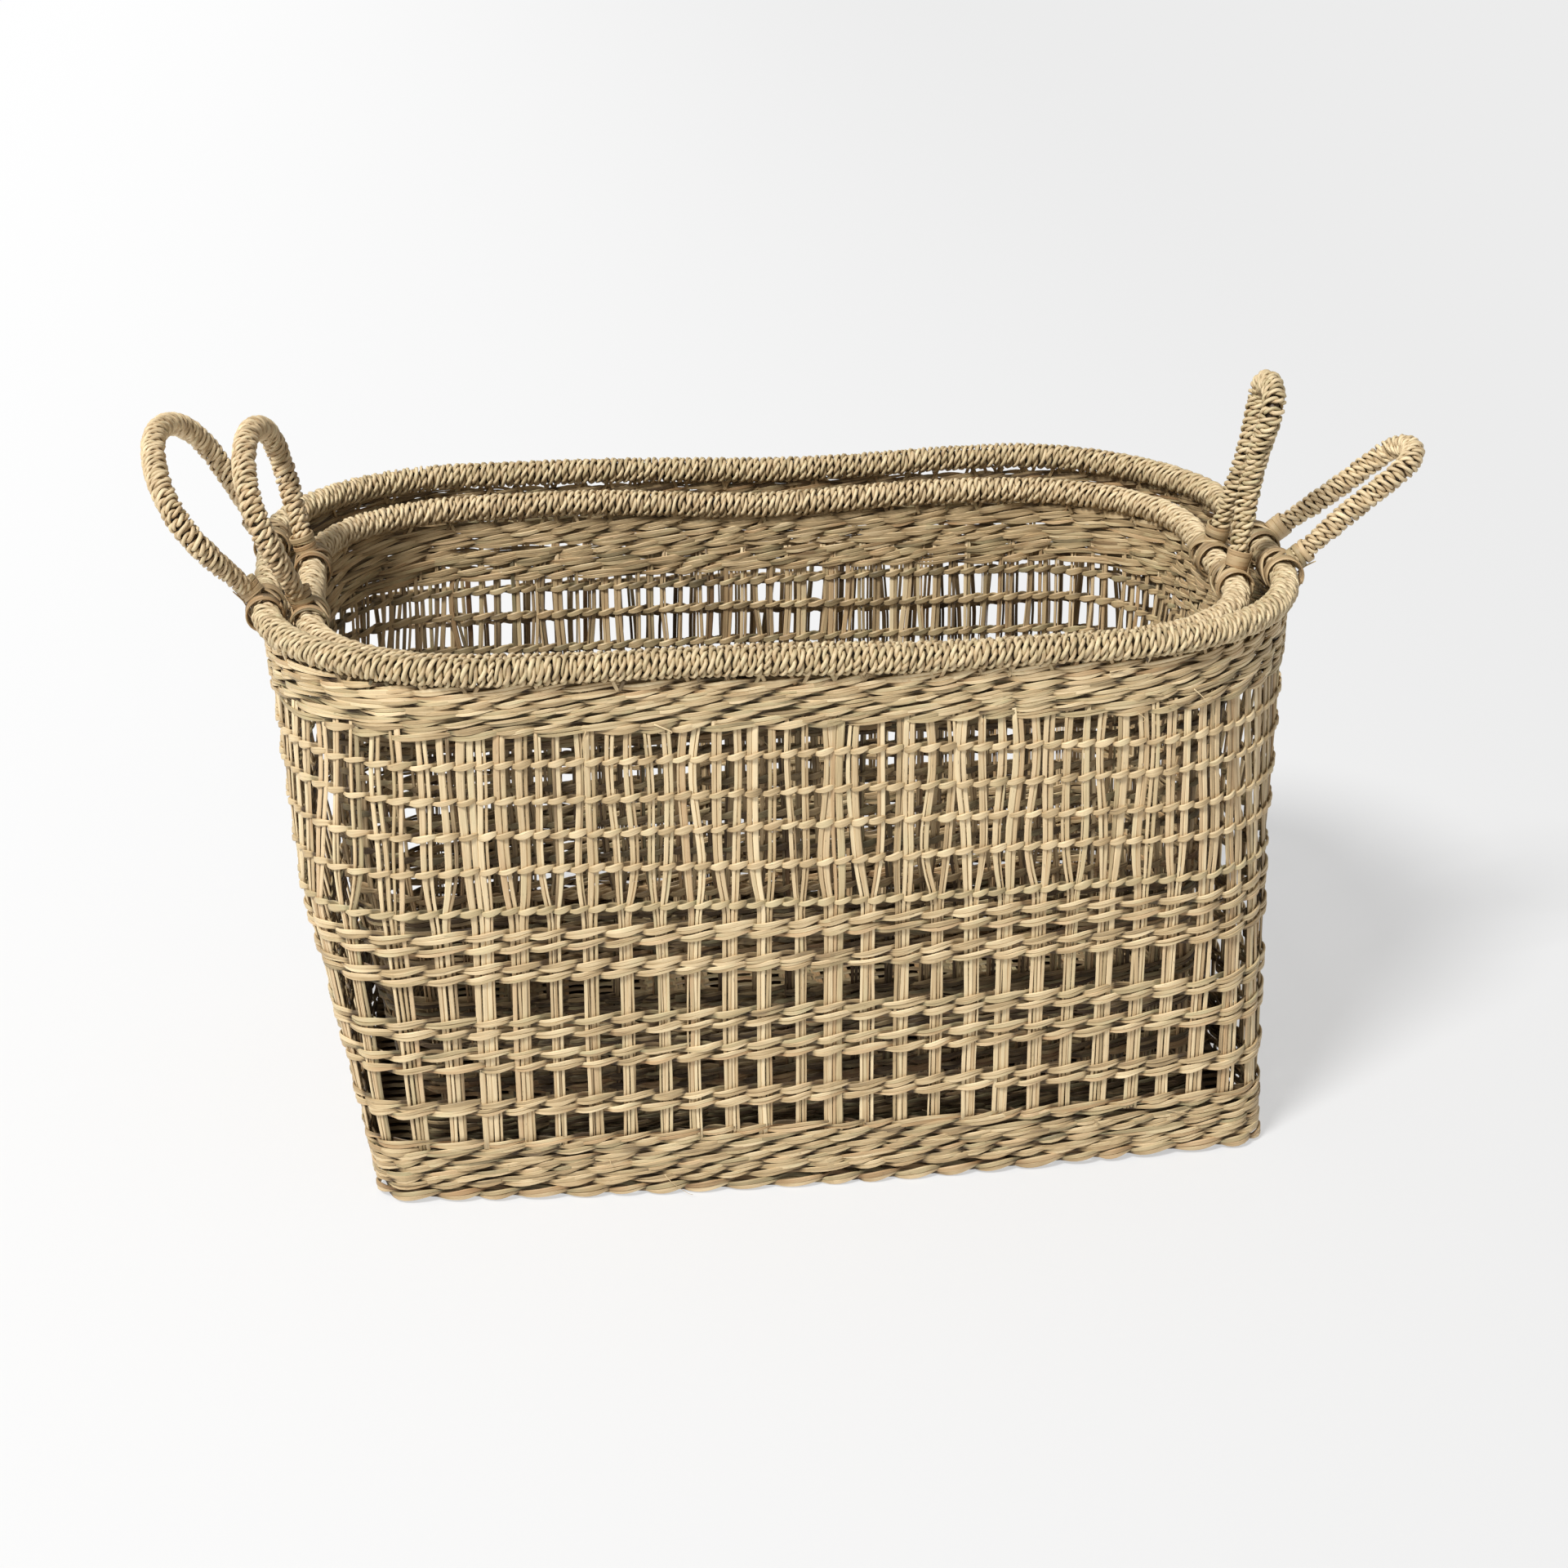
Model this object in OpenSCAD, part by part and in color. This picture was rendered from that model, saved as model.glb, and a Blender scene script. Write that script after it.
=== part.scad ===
// Nested pair of rectangular seagrass storage baskets.
// A smaller basket stands inside a larger one. Each has an open lattice wall of upright
// stakes and twined rows, a bound wire rim and two loop handles that swing about the rim.
// Origin: middle of the large basket's foot, on the floor. X runs along the length, Y to
// the back, Z up.

/* [Large basket] */
// Length along the middle of the rim
outer_rim_l = 550; // [540:5:600]
// Width along the middle of the rim
outer_rim_w = 345; // [335:5:380]
// Bend radius of the rim corners
outer_rim_r = 115; // [105:5:125]
// Height of the middle of the rim above the floor
outer_rim_z = 306; // [300:2:340]
// Length of the foot
outer_foot_l = 484; // [470:2:500]
// Width of the foot
outer_foot_w = 295; // [285:5:310]

/* [Small basket] */
// Length along the middle of the rim
inner_rim_l = 500; // [480:5:505]
// Width along the middle of the rim
inner_rim_w = 276; // [256:4:284]
// Bend radius of the rim corners
inner_rim_r = 90; // [70:5:95]
// Height of the middle of the rim above the floor
inner_rim_z = 300; // [270:2:302]
// Length of the foot
inner_foot_l = 428; // [400:4:440]
// Width of the foot
inner_foot_w = 236; // [216:4:244]
// How far the small basket sits towards the front of the large one
inner_forward = 14; // [0:1:16]

/* [Rim and handles] */
// Radius of the bound rim
rim_r = 8; // [7:0.5:8.5]
// Radius of the rim's wire
wire_r = 2.2; // [1.5:0.1:2.5]
// Radius of a bound handle loop
loop_r = 6.4; // [5.5:0.1:6.8]
// Radius of the core rope inside a handle loop
core_r = 3; // [2:0.2:3.4]
// Radius of a lashing strand
lash_r = 1.3; // [1:0.1:1.4]
// Outward lean of the large basket's left handle, in degrees from upright
outer_left_lean = 35; // [26:1:60]
// Outward lean of the large basket's right handle
outer_right_lean = 52; // [26:1:70]
// Outward lean of the small basket's left handle
inner_left_lean = 18; // [0:1:20]
// Outward lean of the small basket's right handle
inner_right_lean = 12; // [0:1:20]

/* [Weave] */
// Thickness of a flat seagrass stake
stake_t = 2; // [1.6:0.1:2.2]
// Width of a stake group below the split row
stake_w = 7.5; // [5:0.5:8]
// Width of a single stake above the split row
split_w = 3.4; // [2:0.2:3.6]
// Thickness of one twined strand
strand_t = 2.2; // [1.6:0.1:2.4]
// Height of one twined strand
strand_h = 3.2; // [2.4:0.1:3.4]
// Stakes along a long wall
long_count = 23; // [17:2:25]
// Stakes along a short wall
short_count = 11; // [7:2:13]
// Stakes round each corner
corner_count = 4; // [2:1:4]

/* [Hidden] */
$fn = 48;
foot_h = 8.7;           // height of the braided foot
foot_wall = 3.2;        // half thickness of the braided foot
foot_corner_r = 14;     // bend radius of the foot's corners
mat_top = 7.5;          // upper side of the mat above the foot's underside
nest_gap = 0.4;         // air between the small basket's foot and the large one's mat
rim_drift = -13;        // the hand-woven walls carry the rim this far along X from the foot
inner_drift = -2;       // small basket's place along X in the large one
band_half = 2.6;        // half thickness of a closely woven band
course_bite = 0.3;      // how far a band's course presses into the next one
fit_gap = 0.5;          // air between a stake and the strands that hold it
end_gap = 0.003;        // share of the height left between a stake's end and the upper band
long_kink = 0.56;       // share of the flare along X that is reached at the split row
wide_kink = 0.77;       // share of the flare along Y that is reached at the split row
bend_kink = 0.45;       // share of the corner bend that is reached at the split row
drift_kink = 1.15;      // share of the drift that is reached at the split row
split_spread = 2.5;     // half distance between two split stakes at the split row
top_spread = 4.4;       // widest half distance between two split stakes at the upper band
overlap = 1;            // how far the broad part of a stake reaches into its split part
tie_r = 1.6;            // radius of a tie between the upper band and the rim
tie_pitch = 18;         // distance between ties along the rim
tie_clear = 10.5;       // distance kept between a tie and the middle of a handle's foot
ring_gap = 0.6;         // air between the bound rim and a lashing ring
core_gap = 0.15;        // air between a loop's core rope and its binding
foot_reach = 11;        // distance from the rim's middle to the start of a handle loop
foot_taper = 0.72;      // share of the loop's radius left at its tied ends
loop_power = 0.8;       // below 1 gives the loop steep legs and a broad top
loop_steps = 28;        // sections along a handle loop
loop_sides = 12;        // sides of a handle loop's section

// Heights of the woven courses, as shares of the rim's height above the foot.
lower_band_top = 0.125;
paired_rows = [0.19, 0.283, 0.348, 0.454, 0.516];
single_rows = [0.565, 0.644, 0.709, 0.775, 0.835];
upper_band_low = 0.886;
upper_band_top = 0.957;
split_share = single_rows[0];

// A basket is [rim length, width, bend radius, height, foot length, width, height of its
// underside, rim middle x, y, foot middle x, y].
OUTER = [outer_rim_l, outer_rim_w, outer_rim_r, outer_rim_z, outer_foot_l, outer_foot_w, 0,
         rim_drift, 0, 0, 0];
INNER = [inner_rim_l, inner_rim_w, inner_rim_r, inner_rim_z, inner_foot_l, inner_foot_w,
         mat_top + nest_gap, rim_drift + inner_drift, -inner_forward, inner_drift, -inner_forward];

// A handle is [basket, side, lean, middle along Y, half span of its feet, bulge, height, twist,
// pinch of its legs].
OUTER_LEFT = [OUTER, -1, outer_left_lean, -1, 57, 27, 97, 2, 4];
OUTER_RIGHT = [OUTER, 1, outer_right_lean, -33, 24, 5, 97, -2, -4];
INNER_LEFT = [INNER, -1, inner_left_lean, -16, 46, 22, 93, 4, 2];
INNER_RIGHT = [INNER, 1, inner_right_lean, -34, 24, 4, 107, -3, -8];

function mix(a, b, t) = a + (b - a) * t;
function rise(b) = b[3] - b[6];

// Share of the flare, the corner bend or the drift reached at height share s: a straight lower
// wall, a bend at the split row, and a steeper upper wall.
function two_slope(s, bend) =
    s < split_share ? bend * s / split_share
                    : mix(bend, 1, (s - split_share) / (1 - split_share));

// The wall's outline at height share s: [length, width, corner radius, middle x, middle y, z].
function outline(b, s) =
    let (drift = two_slope(s, drift_kink))
    [mix(b[4], b[0], two_slope(s, long_kink)), mix(b[5], b[1], two_slope(s, wide_kink)),
     mix(foot_corner_r, b[2], two_slope(s, bend_kink)),
     mix(b[9], b[7], drift), mix(b[10], b[8], drift), b[6] + rise(b) * s];

// A place on the wall. The side is a turn in degrees from the front wall; along is from
// -1 to 1 on the straight stretch, and angle turns into the next corner.
function on_wall(b, s, side, along, angle) =
    let (o = outline(b, s), long_side = side % 180 == 0,
         half_run = (long_side ? o[0] : o[1]) / 2 - o[2],
         depth = (long_side ? o[1] : o[0]) / 2 - o[2],
         x = angle > 0 ? half_run + o[2] * sin(angle) : along * half_run,
         y = angle > 0 ? -depth - o[2] * cos(angle) : -depth - o[2])
    [o[3] + x * cos(side) - y * sin(side), o[4] + x * sin(side) + y * cos(side), o[5]];

function unit(v) = v / norm(v);

module rounded(l, w, r) {
    square([l, w - 2 * r], center = true);
    square([l - 2 * r, w], center = true);
    for (x = [-1, 1])
        for (y = [-1, 1])
            translate([x * (l / 2 - r), y * (w / 2 - r)])
                circle(r = r);
}

// A level ring whose faces lie inside and outside the wall's outline by the two offsets.
module ring(o, low, high, inside, outside) {
    translate([o[3], o[4], low])
        linear_extrude(high - low)
            difference() {
                rounded(o[0] + 2 * outside, o[1] + 2 * outside, o[2] + outside);
                rounded(o[0] + 2 * inside, o[1] + 2 * inside, o[2] + inside);
            }
}

// A pair of strands, one outside the stakes and one inside.
module twined(b, s, lift) {
    o = outline(b, s);
    near = stake_t / 2 + fit_gap;
    far = near + strand_t;
    low = o[5] + lift - strand_h / 2;
    ring(o, low, low + strand_h, near, far);
    ring(o, low, low + strand_h, -far, -near);
}

module single_row(b, i) {
    color("#cdb184")
        twined(b, single_rows[i], 0);
}

module paired_row(b, i) {
    color("#c8ab7c") {
        twined(b, paired_rows[i], strand_h * 0.6);
        twined(b, paired_rows[i], -strand_h * 0.6);
    }
}

// A closely woven band, built up from courses that step out with the wall and press into
// each other.
module band(b, from, to, courses) {
    pitch = (to - from) / courses;
    color("#bfa274")
        for (i = [0 : courses - 1]) {
            o = outline(b, from + (i + 0.5) * pitch);
            half = rise(b) * pitch / 2;
            bite = i < courses - 1 ? course_bite : 0;
            ring(o, o[5] - half, o[5] + half + bite, -band_half, band_half);
        }
}

module lower_band(b) band(b, foot_h / rise(b), lower_band_top, 7);

module upper_band(b) band(b, upper_band_low, upper_band_top, 6);

module foot_braid(b) {
    color("#b99a6a")
        ring(outline(b, 0), b[6], b[6] + foot_h, -foot_wall, foot_wall);
}

module base_mat(b) {
    o = outline(b, 0);
    color("#b39668")
        translate([o[3], o[4], b[6]])
            linear_extrude(mat_top)
                rounded(o[0] - 2 * foot_wall, o[1] - 2 * foot_wall, o[2] - foot_wall);
}

// A flat bar from p to q, its broad face along the wall.
module bar(p, q, tangent, width) {
    up = unit(q - p);
    normal = unit(cross(up, tangent));
    across = cross(normal, up);
    multmatrix([[across[0], normal[0], up[0], p[0]],
                [across[1], normal[1], up[1], p[1]],
                [across[2], normal[2], up[2], p[2]],
                [0, 0, 0, 1]])
        translate([-width / 2, -stake_t / 2, 0])
            cube([width, stake_t, norm(q - p)]);
}

// One stake: a broad group up to the split row, then two single stakes that spread apart.
module stake(b, side, along, angle, width, spread) {
    tangent = [cos(side + angle), sin(side + angle), 0];
    low = on_wall(b, lower_band_top + end_gap, side, along, angle);
    split = on_wall(b, split_share, side, along, angle);
    top = on_wall(b, upper_band_low - end_gap, side, along, angle);
    bar(low, split + overlap * unit(split - low), tangent, width);
    for (k = [-1, 1])
        bar(split + k * min(split_spread, width / 3) * tangent, top + k * spread * tangent,
            tangent, split_w);
}

// The stakes of one straight wall, with the corner stakes of the short walls.
module wall_stakes(b, side, count, corners) {
    top = outline(b, upper_band_low);
    run = (side % 180 == 0 ? top[0] : top[1]) - 2 * top[2];
    spread = min(top_spread, run / (count - 1) / 4);
    color("#d6bb8e") {
        for (i = [0 : count - 1])
            stake(b, side, -1 + 2 * i / (count - 1), 0, stake_w, spread);
        for (k = [1 : 1 : corners]) {
            turn = 90 * k / (corners + 1);
            stake(b, side, 0, turn, stake_w / 2, top_spread);
            stake(b, side - 90, 0, turn, stake_w / 2, top_spread);
        }
    }
}

// Whether a tie at p clears the lashings of every handle, wherever the handles are swung.
function clears(p, handles) =
    min([for (h = handles)
            for (end = [-1, 1])
                norm([p[0] - hinge_x(h), p[1] - h[3] - end * h[4]])]) > tie_clear;

module rim_ties(b, handles) {
    o = outline(b, 1);
    low = b[6] + rise(b) * upper_band_top;
    high = o[5] - rim_r;
    color("#bda070")
        for (side = [0, 90, 180, 270]) {
            run = (side % 180 == 0 ? o[0] : o[1]) - 2 * o[2];
            steps = floor(run / tie_pitch);
            bends = floor(o[2] * PI / 2 / tie_pitch);
            places = concat(
                [for (i = [0 : steps]) on_wall(b, 1, side, -1 + 2 * i / steps, 0)],
                [for (i = [1 : bends - 1]) on_wall(b, 1, side, 0, 90 * i / bends)]);
            for (p = places)
                if (clears(p, handles))
                    tie(p, low, high);
        }
}

module tie(p, low, high) {
    translate([p[0], p[1], low])
        cylinder(r = tie_r, h = high - low);
}

// A round tube or rod that follows the rim's outline.
module rim_tube(b, r, bore) {
    o = outline(b, 1);
    translate([o[3], o[4], o[5]])
        for (side = [0, 90, 180, 270]) {
            long_side = side % 180 == 0;
            half_run = (long_side ? o[0] : o[1]) / 2 - o[2];
            depth = (long_side ? o[1] : o[0]) / 2;
            rotate([0, 0, side]) {
                translate([-half_run, -depth, 0])
                    rotate([0, 90, 0])
                        linear_extrude(2 * half_run)
                            section(r, bore);
                translate([half_run, o[2] - depth, 0])
                    rotate([0, 0, -90])
                        rotate_extrude(angle = 90)
                            translate([o[2], 0])
                                section(r, bore);
            }
        }
}

module section(r, bore) {
    difference() {
        circle(r = r);
        if (bore > 0)
            circle(r = bore);
    }
}

module rim_wire(b) {
    color("#6e6a62")
        rim_tube(b, wire_r, 0);
}

module rim_binding(b) {
    color("#c9ac7b")
        rim_tube(b, rim_r, wire_r);
}

// The point of a handle loop at angle a from 0 to 180 degrees, from the front foot over
// the top to the back foot.
function hinge_x(h) = h[0][7] + h[1] * h[0][0] / 2;
function loop_point(h, a) =
    let (out = [h[1] * sin(h[2]), 0, cos(h[2])], off = [h[1] * cos(h[2]), 0, -sin(h[2])],
         u = h[3] - h[4] * cos(a) - h[5] * sin(2 * a) - h[8] * sin(4 * a),
         v = foot_reach + (h[6] - foot_reach) * pow(max(sin(a), 0), loop_power))
    [hinge_x(h), u, h[0][3]] + v * out + h[7] * sin(2 * a) * off;

// Loop radius at step share t: full in the middle and tapered at both tied ends.
function loop_size(t) = mix(foot_taper, 1, min(1, 7 * min(t, 1 - t)));

// Sections close up near the feet, where the loop bends fast.
function loop_angle(i) = 90 - 90 * cos(180 * i / loop_steps);

function loop_ring(h, i, r) =
    let (p = loop_point(h, loop_angle(i)),
         before = loop_point(h, loop_angle(max(i - 1, 0))),
         after = loop_point(h, loop_angle(min(i + 1, loop_steps))),
         along = unit(after - before),
         flat = unit(cross(along, [h[1] * cos(h[2]), 0, -sin(h[2])])),
         up = cross(flat, along),
         size = r * loop_size(i / loop_steps))
    [for (k = [0 : loop_sides - 1])
        p + size * (cos(360 * k / loop_sides) * flat + sin(360 * k / loop_sides) * up)];

// Faces of a skin between successive rings, turned inside out for a bore.
function skin(first, inward) =
    [for (i = [0 : loop_steps - 1])
        for (k = [0 : loop_sides - 1])
            let (n = (k + 1) % loop_sides, a = first + i * loop_sides + k,
                 b = first + i * loop_sides + n, c = b + loop_sides, d = a + loop_sides)
            inward ? [a, b, c, d] : [d, c, b, a]];

// The flat ends of a solid loop whose last section starts at the given point.
function caps(last) =
    [[for (k = [0 : loop_sides - 1]) k],
     [for (k = [0 : loop_sides - 1]) last + loop_sides - 1 - k]];

// Flat washers that close a hollow loop at both ends.
function washer(shell, bore, end) =
    [for (k = [0 : loop_sides - 1])
        let (n = (k + 1) % loop_sides)
        end == 0 ? [shell + k, shell + n, bore + n, bore + k]
                 : [shell + n, shell + k, bore + k, bore + n]];

module handle_core(h) {
    points = [for (i = [0 : loop_steps]) each loop_ring(h, i, core_r - core_gap)];
    color("#8d7752")
        polyhedron(points, concat(skin(0, false), caps(loop_steps * loop_sides)));
}

module handle_binding(h) {
    shell = [for (i = [0 : loop_steps]) each loop_ring(h, i, loop_r)];
    bore = [for (i = [0 : loop_steps]) each loop_ring(h, i, core_r)];
    count = len(shell);
    last = loop_steps * loop_sides;
    color("#c9ac7b")
        polyhedron(concat(shell, bore),
                   concat(skin(0, false), skin(count, true), washer(0, count, 0),
                          washer(last, count + last, 1)));
}

// Strands looped round the rim on both sides of each foot, and a collar round the foot.
module handle_lashing(h) {
    ring_r = rim_r + ring_gap + lash_r;
    collar_r = loop_r * foot_taper + ring_gap + lash_r;
    color("#b8945f")
        translate([hinge_x(h), 0, h[0][3]])
            rotate([0, h[1] * h[2], 0])
                for (end = [-1, 1])
                    translate([0, h[3] + end * h[4], 0]) {
                        for (k = [-1, 1])
                            translate([0, k * collar_r, 0])
                                rotate([90, 0, 0])
                                    rotate_extrude()
                                        translate([ring_r, 0])
                                            circle(r = lash_r);
                        translate([0, 0, ring_r + lash_r])
                            rotate_extrude()
                                translate([collar_r, 0])
                                    circle(r = lash_r);
                    }
}

module outer_foot_braid() foot_braid(OUTER);
module outer_base_mat() base_mat(OUTER);
module outer_lower_band() lower_band(OUTER);
module outer_paired_row_1() paired_row(OUTER, 0);
module outer_paired_row_2() paired_row(OUTER, 1);
module outer_paired_row_3() paired_row(OUTER, 2);
module outer_paired_row_4() paired_row(OUTER, 3);
module outer_paired_row_5() paired_row(OUTER, 4);
module outer_single_row_1() single_row(OUTER, 0);
module outer_single_row_2() single_row(OUTER, 1);
module outer_single_row_3() single_row(OUTER, 2);
module outer_single_row_4() single_row(OUTER, 3);
module outer_single_row_5() single_row(OUTER, 4);
module outer_upper_band() upper_band(OUTER);
module outer_front_stakes() wall_stakes(OUTER, 0, long_count, 0);
module outer_back_stakes() wall_stakes(OUTER, 180, long_count, 0);
module outer_left_stakes() wall_stakes(OUTER, 270, short_count, corner_count);
module outer_right_stakes() wall_stakes(OUTER, 90, short_count, corner_count);
module outer_rim_ties() rim_ties(OUTER, [OUTER_LEFT, OUTER_RIGHT]);
module outer_rim_wire() rim_wire(OUTER);
module outer_rim_binding() rim_binding(OUTER);
module outer_left_handle_core() handle_core(OUTER_LEFT);
module outer_left_handle_binding() handle_binding(OUTER_LEFT);
module outer_left_handle_lashing() handle_lashing(OUTER_LEFT);
module outer_right_handle_core() handle_core(OUTER_RIGHT);
module outer_right_handle_binding() handle_binding(OUTER_RIGHT);
module outer_right_handle_lashing() handle_lashing(OUTER_RIGHT);
module inner_foot_braid() foot_braid(INNER);
module inner_base_mat() base_mat(INNER);
module inner_lower_band() lower_band(INNER);
module inner_paired_row_1() paired_row(INNER, 0);
module inner_paired_row_2() paired_row(INNER, 1);
module inner_paired_row_3() paired_row(INNER, 2);
module inner_paired_row_4() paired_row(INNER, 3);
module inner_paired_row_5() paired_row(INNER, 4);
module inner_single_row_1() single_row(INNER, 0);
module inner_single_row_2() single_row(INNER, 1);
module inner_single_row_3() single_row(INNER, 2);
module inner_single_row_4() single_row(INNER, 3);
module inner_single_row_5() single_row(INNER, 4);
module inner_upper_band() upper_band(INNER);
module inner_front_stakes() wall_stakes(INNER, 0, long_count, 0);
module inner_back_stakes() wall_stakes(INNER, 180, long_count, 0);
module inner_left_stakes() wall_stakes(INNER, 270, short_count, corner_count);
module inner_right_stakes() wall_stakes(INNER, 90, short_count, corner_count);
module inner_rim_ties() rim_ties(INNER, [INNER_LEFT, INNER_RIGHT]);
module inner_rim_wire() rim_wire(INNER);
module inner_rim_binding() rim_binding(INNER);
module inner_left_handle_core() handle_core(INNER_LEFT);
module inner_left_handle_binding() handle_binding(INNER_LEFT);
module inner_left_handle_lashing() handle_lashing(INNER_LEFT);
module inner_right_handle_core() handle_core(INNER_RIGHT);
module inner_right_handle_binding() handle_binding(INNER_RIGHT);
module inner_right_handle_lashing() handle_lashing(INNER_RIGHT);

outer_foot_braid();
outer_base_mat();
outer_lower_band();
outer_paired_row_1();
outer_paired_row_2();
outer_paired_row_3();
outer_paired_row_4();
outer_paired_row_5();
outer_single_row_1();
outer_single_row_2();
outer_single_row_3();
outer_single_row_4();
outer_single_row_5();
outer_upper_band();
outer_front_stakes();
outer_back_stakes();
outer_left_stakes();
outer_right_stakes();
outer_rim_ties();
outer_rim_wire();
outer_rim_binding();
outer_left_handle_core();
outer_left_handle_binding();
outer_left_handle_lashing();
outer_right_handle_core();
outer_right_handle_binding();
outer_right_handle_lashing();
inner_foot_braid();
inner_base_mat();
inner_lower_band();
inner_paired_row_1();
inner_paired_row_2();
inner_paired_row_3();
inner_paired_row_4();
inner_paired_row_5();
inner_single_row_1();
inner_single_row_2();
inner_single_row_3();
inner_single_row_4();
inner_single_row_5();
inner_upper_band();
inner_front_stakes();
inner_back_stakes();
inner_left_stakes();
inner_right_stakes();
inner_rim_ties();
inner_rim_wire();
inner_rim_binding();
inner_left_handle_core();
inner_left_handle_binding();
inner_left_handle_lashing();
inner_right_handle_core();
inner_right_handle_binding();
inner_right_handle_lashing();
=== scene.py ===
# %% [markdown]
# # A nested pair of seagrass baskets
# Seagrass baskets are made from long flat blades that are dried, damped and woven. Everything
# seen on them is a strand: upright stakes, pairs of strands twisted round the stakes, and
# two-ply cord wound round a wire for the rim and the handles. So this lesson makes strands,
# and lets the baskets appear from them. The packed model says where each part belongs.

# %% Load the fixed frame
import math

import bpy
import numpy as np
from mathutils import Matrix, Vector


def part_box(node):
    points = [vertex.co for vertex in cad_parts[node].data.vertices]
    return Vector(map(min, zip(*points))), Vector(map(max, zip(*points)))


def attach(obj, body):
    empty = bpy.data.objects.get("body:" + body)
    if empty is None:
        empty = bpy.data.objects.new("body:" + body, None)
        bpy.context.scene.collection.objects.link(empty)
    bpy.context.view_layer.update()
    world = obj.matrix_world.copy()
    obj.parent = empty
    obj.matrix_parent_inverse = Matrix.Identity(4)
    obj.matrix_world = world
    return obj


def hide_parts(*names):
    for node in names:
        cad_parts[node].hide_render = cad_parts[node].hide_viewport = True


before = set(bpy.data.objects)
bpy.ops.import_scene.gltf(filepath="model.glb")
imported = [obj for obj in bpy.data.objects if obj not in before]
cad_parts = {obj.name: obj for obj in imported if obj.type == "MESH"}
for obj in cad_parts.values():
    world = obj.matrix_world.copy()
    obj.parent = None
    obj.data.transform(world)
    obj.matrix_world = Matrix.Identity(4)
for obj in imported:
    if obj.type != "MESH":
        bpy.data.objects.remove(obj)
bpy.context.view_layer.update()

# %% [markdown]
# ## Camera
# The pair is looked at from in front, a little from its left and from above, close enough
# that the long sides draw together towards the back. A 74 mm lens keeps the handles upright.

# %% Camera
CAMERA_TURN = math.radians(-6.6)
CAMERA_RISE = math.radians(22.2)
CAMERA_DISTANCE = 1.8325
LENS = 73.6
FILM = 36.0
AIM = Vector((-0.0049, 0.0, 0.1687))


def direction(turn, rise):
    """A unit vector, turned from the front towards the right and raised from the floor."""
    flat = math.cos(rise)
    return Vector((math.sin(turn) * flat, -math.cos(turn) * flat, math.sin(rise)))


def make_camera():
    data = bpy.data.cameras.new("camera")
    data.lens = LENS
    data.sensor_width = FILM
    camera = bpy.data.objects.new("camera", data)
    bpy.context.collection.objects.link(camera)
    away = direction(CAMERA_TURN, CAMERA_RISE)
    camera.location = AIM + away * CAMERA_DISTANCE
    camera.rotation_euler = away.to_track_quat("Z", "Y").to_euler()
    bpy.context.scene.camera = camera
    return camera


camera = make_camera()
print("camera at", [round(v, 3) for v in camera.location])

# %% [markdown]
# ## Writing shaders as sums
# A node tree is easier to read as arithmetic. Sock wraps one output socket, and its
# operators add Math nodes. Tree.node makes any other node from its type, its settings and
# the values or links of its sockets. A Tree belongs to a material, or to the sky.

# %% A small shader language


class Sock:
    def __init__(self, tree, socket):
        self.tree = tree
        self.socket = socket

    def math(self, operation, a, b):
        return self.tree.node("ShaderNodeMath", {"operation": operation}, {0: a, 1: b})

    def __add__(self, other):
        return self.math("ADD", self, other)

    def __radd__(self, other):
        return self.math("ADD", other, self)

    def __sub__(self, other):
        return self.math("SUBTRACT", self, other)

    def __rsub__(self, other):
        return self.math("SUBTRACT", other, self)

    def __mul__(self, other):
        return self.math("MULTIPLY", self, other)

    def __rmul__(self, other):
        return self.math("MULTIPLY", other, self)

    def step(self, low, high):
        settings = {"interpolation_type": "SMOOTHSTEP"}
        return self.tree.node("ShaderNodeMapRange", settings, {"Value": self, 1: low, 2: high})


# %% A tree of nodes


class Tree:
    def __init__(self, owner):
        self.owner = owner
        owner.use_nodes = True
        self.nodes = owner.node_tree.nodes
        self.links = owner.node_tree.links
        self.nodes.clear()

    def node(self, kind, settings=None, values=None, out=0):
        made = self.nodes.new(kind)
        for key, value in (settings or {}).items():
            if key == "stops":
                self.set_stops(made.color_ramp, value)
            else:
                setattr(made, key, value)
        for key, value in (values or {}).items():
            self.feed(made.inputs[key], value)
        return Sock(self, made.outputs[out])

    def feed(self, target, value):
        if isinstance(value, Sock):
            self.links.new(value.socket, target)
        elif isinstance(value, tuple) and len(value) == 3 and target.type == "RGBA":
            target.default_value = (*value, 1.0)
        else:
            target.default_value = value

    @staticmethod
    def set_stops(ramp, stops):
        while len(ramp.elements) < len(stops):
            ramp.elements.new(0.5)
        for element, (place, colour) in zip(ramp.elements, stops):
            element.position = place
            element.color = (*colour, 1.0)

    def mix(self, factor, a, b):
        settings = {"data_type": "RGBA", "clamp_factor": True}
        return self.node("ShaderNodeMix", settings, {"Factor": factor, 6: a, 7: b}, 2)

    def finish(self, shader):
        kind = "World" if isinstance(self.owner, bpy.types.World) else "Material"
        output = self.nodes.new("ShaderNodeOutput" + kind)
        self.feed(output.inputs["Surface"], shader)
        return self.owner


print("shader operators:", [name for name in vars(Sock) if name.startswith("__")][3:])
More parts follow.
